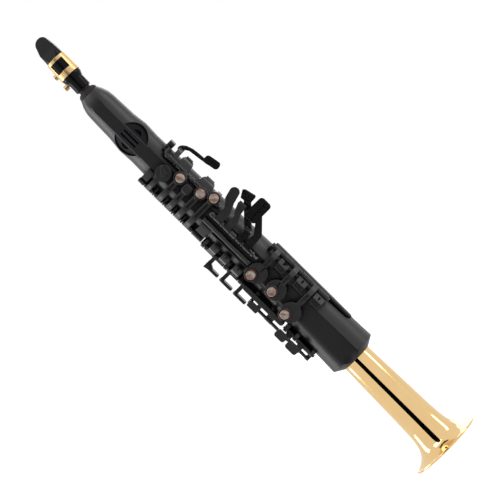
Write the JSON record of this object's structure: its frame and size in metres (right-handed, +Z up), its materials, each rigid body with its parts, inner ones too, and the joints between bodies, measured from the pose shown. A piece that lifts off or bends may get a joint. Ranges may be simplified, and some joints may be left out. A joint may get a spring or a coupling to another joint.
{
  "type": "digital wind controller",
  "caption": "Straight digital saxophone: housing with hinged keys, speaker, brass bell and a mouthpiece on a cork tenon.",
  "frame": {"origin": "centre of the bell mouth, on the plane that the bell rim stands on", "axes": "+Z up along the instrument to the mouthpiece, -Y the key side, +X the side of the pinky table"},
  "size_m": [0.115, 0.0987, 0.7008],
  "materials": {
    "housing_plastic": "matt dark grey-black moulded ABS",
    "grille_black": "fine moulded plastic",
    "key_grey": "satin black-grey",
    "touch_black": "satin black",
    "pearl": "polished pearl",
    "brass": "gold lacquer, polished",
    "ebonite": "satin black",
    "cork": "dark",
    "reed_cane": "bare cane",
    "rod_steel": "brushed",
    "cover_gloss": "glossy black",
    "screw_bronze": "lacquered",
    "inner_plastic": "grey",
    "board_green": "solder mask",
    "cell_steel": "brushed",
    "display_black": "glossy",
    "ring_steel": "polished",
    "button_grey": "satin"
  },
  "bodies": {
    "housing": {"front_shell": "housing_plastic", "rear_shell": "housing_plastic", "neck_tenon": "cork", "bell": "brass", "speaker_grilles": "grille_black", "speaker_unit": "inner_plastic", "inner_chassis": "inner_plastic", "main_board": "board_green", "battery_cells": "cell_steel", "upper_key_frame": "key_grey", "palm_key_frame": "key_grey", "pinky_key_frame": "key_grey", "lower_key_frame": "key_grey", "hinge_rods": "rod_steel", "side_cover": "cover_gloss", "strap_ring": "ring_steel", "thumb_rest": "housing_plastic", "display_window": "display_black", "port_panel": "grille_black", "shell_screws": "rod_steel"},
    "front_f_key": {"front_f_key": "key_grey"},
    "b_key": {"b_key": "key_grey", "b_pearl": "pearl"},
    "bis_key": {"bis_key": "key_grey"},
    "a_key": {"a_key": "key_grey", "a_pearl": "pearl"},
    "g_key": {"g_key": "key_grey", "g_pearl": "pearl"},
    "palm_d_key": {"palm_d_key": "touch_black"},
    "palm_eb_key": {"palm_eb_key": "touch_black"},
    "palm_f_key": {"palm_f_key": "key_grey"},
    "g_sharp_key": {"g_sharp_key": "key_grey"},
    "c_sharp_key": {"c_sharp_key": "key_grey"},
    "low_b_key": {"low_b_key": "touch_black"},
    "low_bb_key": {"low_bb_key": "touch_black"},
    "f_key": {"f_key": "key_grey", "f_pearl": "pearl"},
    "e_key": {"e_key": "key_grey", "e_pearl": "pearl"},
    "d_key": {"d_key": "key_grey", "d_pearl": "pearl"},
    "side_e_key": {"side_e_key": "touch_black"},
    "side_c_key": {"side_c_key": "touch_black"},
    "side_bb_key": {"side_bb_key": "touch_black"},
    "high_fs_key": {"high_fs_key": "key_grey"},
    "low_eb_key": {"low_eb_key": "touch_black"},
    "low_c_key": {"low_c_key": "touch_black"},
    "octave_key": {"octave_key": "key_grey"},
    "thumb_lever": {"thumb_lever": "touch_black"},
    "button_up": {"button_up": "button_grey"},
    "button_mode": {"button_mode": "button_grey"},
    "button_down": {"button_down": "button_grey"},
    "battery_cover": {"battery_cover": "housing_plastic"},
    "thumb_hook": {"thumb_hook": "touch_black"},
    "hook_screw": {"hook_screw": "rod_steel"},
    "mouthpiece": {"mouthpiece": "ebonite", "reed": "reed_cane", "ligature": "brass"},
    "ligature_screw_upper": {"ligature_screw_upper": "screw_bronze"},
    "ligature_screw_lower": {"ligature_screw_lower": "screw_bronze"}
  },
  "joints": [
    {"name": "front_f_press", "type": "hinge", "parent": "housing", "child": "front_f_key", "pos_m": [-0.0283, -0.014, 0.479], "axis": [0, 0, 1], "range_deg": [0, 3.2], "stiffness_Nm_per_rad": 0.3, "springref_deg": -6.88},
    {"name": "b_press", "type": "hinge", "parent": "housing", "child": "b_key", "pos_m": [-0.0283, -0.014, 0.4605], "axis": [0, 0, 1], "range_deg": [0, 3.2], "stiffness_Nm_per_rad": 0.3, "springref_deg": -6.88},
    {"name": "bis_press", "type": "hinge", "parent": "housing", "child": "bis_key", "pos_m": [-0.0283, -0.014, 0.445], "axis": [0, 0, 1], "range_deg": [0, 3.2], "stiffness_Nm_per_rad": 0.3, "springref_deg": -6.88},
    {"name": "a_press", "type": "hinge", "parent": "housing", "child": "a_key", "pos_m": [-0.0283, -0.014, 0.43], "axis": [0, 0, 1], "range_deg": [0, 3.2], "stiffness_Nm_per_rad": 0.3, "springref_deg": -6.88},
    {"name": "g_press", "type": "hinge", "parent": "housing", "child": "g_key", "pos_m": [-0.0283, -0.014, 0.4144], "axis": [0, 0, 1], "range_deg": [0, 3.2], "stiffness_Nm_per_rad": 0.3, "springref_deg": -6.88},
    {"name": "palm_d_press", "type": "hinge", "parent": "housing", "child": "palm_d_key", "pos_m": [0.01795, -0.02088, 0.467], "axis": [0, 0, 1], "range_deg": [0, 5], "stiffness_Nm_per_rad": 0.3, "springref_deg": -6.88},
    {"name": "palm_eb_press", "type": "hinge", "parent": "housing", "child": "palm_eb_key", "pos_m": [0.01795, -0.02088, 0.433], "axis": [0, 0, 1], "range_deg": [0, 5], "stiffness_Nm_per_rad": 0.3, "springref_deg": -6.88},
    {"name": "palm_f_press", "type": "hinge", "parent": "housing", "child": "palm_f_key", "pos_m": [0.01795, -0.02088, 0.483], "axis": [0, 0, 1], "range_deg": [0, 4.5], "stiffness_Nm_per_rad": 0.3, "springref_deg": -6.88},
    {"name": "g_sharp_press", "type": "hinge", "parent": "housing", "child": "g_sharp_key", "pos_m": [0.0064, -0.02988, 0.3926], "axis": [0, 0, 1], "range_deg": [0, 4.5], "stiffness_Nm_per_rad": 0.3, "springref_deg": -6.88},
    {"name": "c_sharp_press", "type": "hinge", "parent": "housing", "child": "c_sharp_key", "pos_m": [0.0064, -0.02988, 0.3774], "axis": [0, 0, 1], "range_deg": [0, 4.5], "stiffness_Nm_per_rad": 0.3, "springref_deg": -6.88},
    {"name": "low_b_press", "type": "hinge", "parent": "housing", "child": "low_b_key", "pos_m": [0.0064, -0.02988, 0.3576], "axis": [0, 0, 1], "range_deg": [0, 4.5], "stiffness_Nm_per_rad": 0.3, "springref_deg": -6.88},
    {"name": "low_bb_press", "type": "hinge", "parent": "housing", "child": "low_bb_key", "pos_m": [0.0064, -0.02988, 0.3453], "axis": [0, 0, 1], "range_deg": [0, 4.5], "stiffness_Nm_per_rad": 0.3, "springref_deg": -6.88},
    {"name": "f_press", "type": "hinge", "parent": "housing", "child": "f_key", "pos_m": [0.03045, -0.019, 0.3134], "axis": [0, 0, -1], "range_deg": [0, 3.2], "stiffness_Nm_per_rad": 0.3, "springref_deg": -6.88},
    {"name": "e_press", "type": "hinge", "parent": "housing", "child": "e_key", "pos_m": [0.03045, -0.019, 0.283], "axis": [0, 0, -1], "range_deg": [0, 3.2], "stiffness_Nm_per_rad": 0.3, "springref_deg": -6.88},
    {"name": "d_press", "type": "hinge", "parent": "housing", "child": "d_key", "pos_m": [0.03045, -0.019, 0.2514], "axis": [0, 0, -1], "range_deg": [0, 3.2], "stiffness_Nm_per_rad": 0.3, "springref_deg": -6.88},
    {"name": "side_e_press", "type": "hinge", "parent": "housing", "child": "side_e_key", "pos_m": [-0.03086, -0.014, 0.358], "axis": [0, 0, -1], "range_deg": [0, 6], "stiffness_Nm_per_rad": 0.3, "springref_deg": -6.88},
    {"name": "side_c_press", "type": "hinge", "parent": "housing", "child": "side_c_key", "pos_m": [-0.03086, -0.014, 0.332], "axis": [0, 0, -1], "range_deg": [0, 6], "stiffness_Nm_per_rad": 0.3, "springref_deg": -6.88},
    {"name": "side_bb_press", "type": "hinge", "parent": "housing", "child": "side_bb_key", "pos_m": [-0.03086, -0.014, 0.308], "axis": [0, 0, -1], "range_deg": [0, 6], "stiffness_Nm_per_rad": 0.3, "springref_deg": -6.88},
    {"name": "high_fs_press", "type": "hinge", "parent": "housing", "child": "high_fs_key", "pos_m": [-0.03086, -0.014, 0.282], "axis": [0, 0, -1], "range_deg": [0, 6], "stiffness_Nm_per_rad": 0.3, "springref_deg": -6.88},
    {"name": "low_eb_press", "type": "hinge", "parent": "housing", "child": "low_eb_key", "pos_m": [-0.03352, -0.014, 0.232], "axis": [0, 0, -1], "range_deg": [0, 6], "stiffness_Nm_per_rad": 0.3, "springref_deg": -6.88},
    {"name": "low_c_press", "type": "hinge", "parent": "housing", "child": "low_c_key", "pos_m": [-0.03352, -0.014, 0.213], "axis": [0, 0, -1], "range_deg": [0, 6], "stiffness_Nm_per_rad": 0.3, "springref_deg": -6.88},
    {"name": "octave_press", "type": "hinge", "parent": "housing", "child": "octave_key", "pos_m": [0, 0.02788, 0.46812], "axis": [-1, 0, 0], "range_deg": [0, 4], "stiffness_Nm_per_rad": 0.3, "springref_deg": -6.88},
    {"name": "thumb_lever_tilt", "type": "hinge", "parent": "housing", "child": "thumb_lever", "pos_m": [0, 0.014, 0.41182], "axis": [1, 0, 0], "range_deg": [-8, 8], "stiffness_Nm_per_rad": 0.05},
    {"name": "button_up_press", "type": "slide", "parent": "housing", "child": "button_up", "axis": [0, -0.9998, -0.0199], "range_m": [0, 0.0008], "stiffness_N_per_m": 1500, "springref_m": -0.0006},
    {"name": "button_mode_press", "type": "slide", "parent": "housing", "child": "button_mode", "axis": [0, -0.9998, -0.0199], "range_m": [0, 0.0008], "stiffness_N_per_m": 1500, "springref_m": -0.0006},
    {"name": "button_down_press", "type": "slide", "parent": "housing", "child": "button_down", "axis": [0, -0.9998, -0.0199], "range_m": [0, 0.0008], "stiffness_N_per_m": 1500, "springref_m": -0.0006},
    {"name": "battery_cover_lift", "type": "slide", "parent": "housing", "child": "battery_cover", "axis": [0, 1, 0], "range_m": [0, 0.02]},
    {"name": "thumb_hook_slide", "type": "slide", "parent": "housing", "child": "thumb_hook", "axis": [0, -0.0199, 0.9998], "range_m": [-0.004, 0.004]},
    {"name": "hook_screw_turn", "type": "hinge", "parent": "housing", "child": "hook_screw", "pos_m": [0, 0.02934, 0.29408], "axis": [0, 0.9998, 0.0199], "continuous": true},
    {"name": "mouthpiece_slide", "type": "slide", "parent": "housing", "child": "mouthpiece", "axis": [0, 0.1564, 0.9877], "range_m": [0, 0.01]},
    {"name": "ligature_screw_upper_turn", "type": "hinge", "parent": "mouthpiece", "child": "ligature_screw_upper", "pos_m": [-0.018, 0.02269, 0.65189], "axis": [1, 0, 0], "continuous": true},
    {"name": "ligature_screw_lower_turn", "type": "hinge", "parent": "mouthpiece", "child": "ligature_screw_lower", "pos_m": [-0.018, 0.01988, 0.63411], "axis": [1, 0, 0], "continuous": true}
  ]
}
